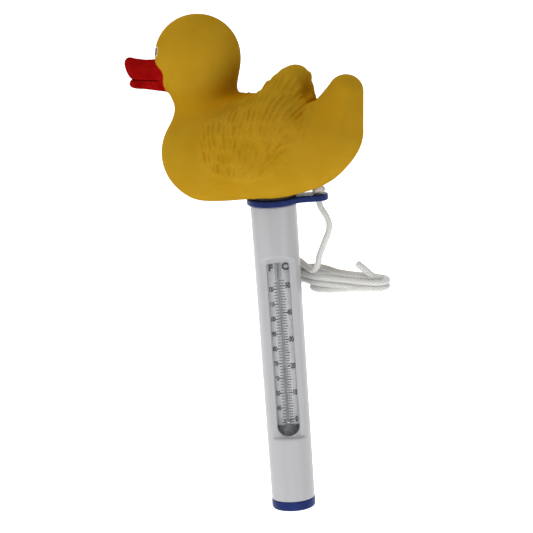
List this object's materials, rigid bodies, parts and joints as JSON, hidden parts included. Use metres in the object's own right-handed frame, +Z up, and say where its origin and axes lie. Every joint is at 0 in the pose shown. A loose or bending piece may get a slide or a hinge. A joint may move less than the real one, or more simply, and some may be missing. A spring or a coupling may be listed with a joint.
{
  "type": "floating pool thermometer",
  "caption": "Floating pool thermometer: a hollow duck float on a slim tube whose open window shows a glass spirit thermometer, with a braided tether cord tied up in a hank.",
  "frame": {"origin": "on the tube's axis at the still waterline, 20 mm above the duck's base", "axes": "+Z up along the tube, the window faces -Y, the cord's tab points along +X"},
  "size_m": [0.101, 0.0622, 0.2031],
  "materials": {
    "duck_vinyl": "satin moulded vinyl",
    "beak_paint": "sprayed paint on vinyl",
    "eye_paint": "sprayed paint on vinyl",
    "blue_plastic": "moulded, slight gloss",
    "tube_plastic": "moulded, silver grey satin",
    "black_rubber": "matt",
    "stopper_rubber": "matt",
    "ballast_steel": "turned",
    "clear_glass": "polished",
    "scale_card": "printed card",
    "scale_ink": "print",
    "tie_metal": "drawn wire",
    "spirit": "dark liquid",
    "cotton": "soft",
    "cord_braid": "braided polypropylene"
  },
  "bodies": {
    "root": {"duck_seal": "black_rubber", "top_cap": "blue_plastic", "tube": "tube_plastic", "bottom_cap": "blue_plastic", "ballast": "ballast_steel", "lower_cushion": "black_rubber", "upper_cushion": "black_rubber", "glass_sheath": "clear_glass", "sheath_stopper": "stopper_rubber", "scale_card": "scale_card", "scale_ties": "tie_metal", "capillary_stem": "clear_glass", "spirit_reservoir": "spirit", "spirit_column": "spirit", "bulb_pad": "cotton", "cord_knot": "cord_braid", "cord": "cord_braid", "cord_hank": "cord_braid", "hank_tie": "cord_braid", "cord_end": "cord_braid"},
    "duck": {"duck_body": "duck_vinyl"},
    "spirit": {"spirit_meniscus": "spirit"}
  },
  "joints": [
    {"name": "duck_turn", "type": "hinge", "parent": "root", "child": "duck", "pos_m": [0, 0, -0.02], "axis": [0, 0, 1], "range_deg": [-80, 120]},
    {"name": "reading", "type": "slide", "parent": "root", "child": "spirit", "axis": [0, 0, 1], "range_m": [-0.0222, 0.0333], "deforming": ["spirit_column"]}
  ]
}
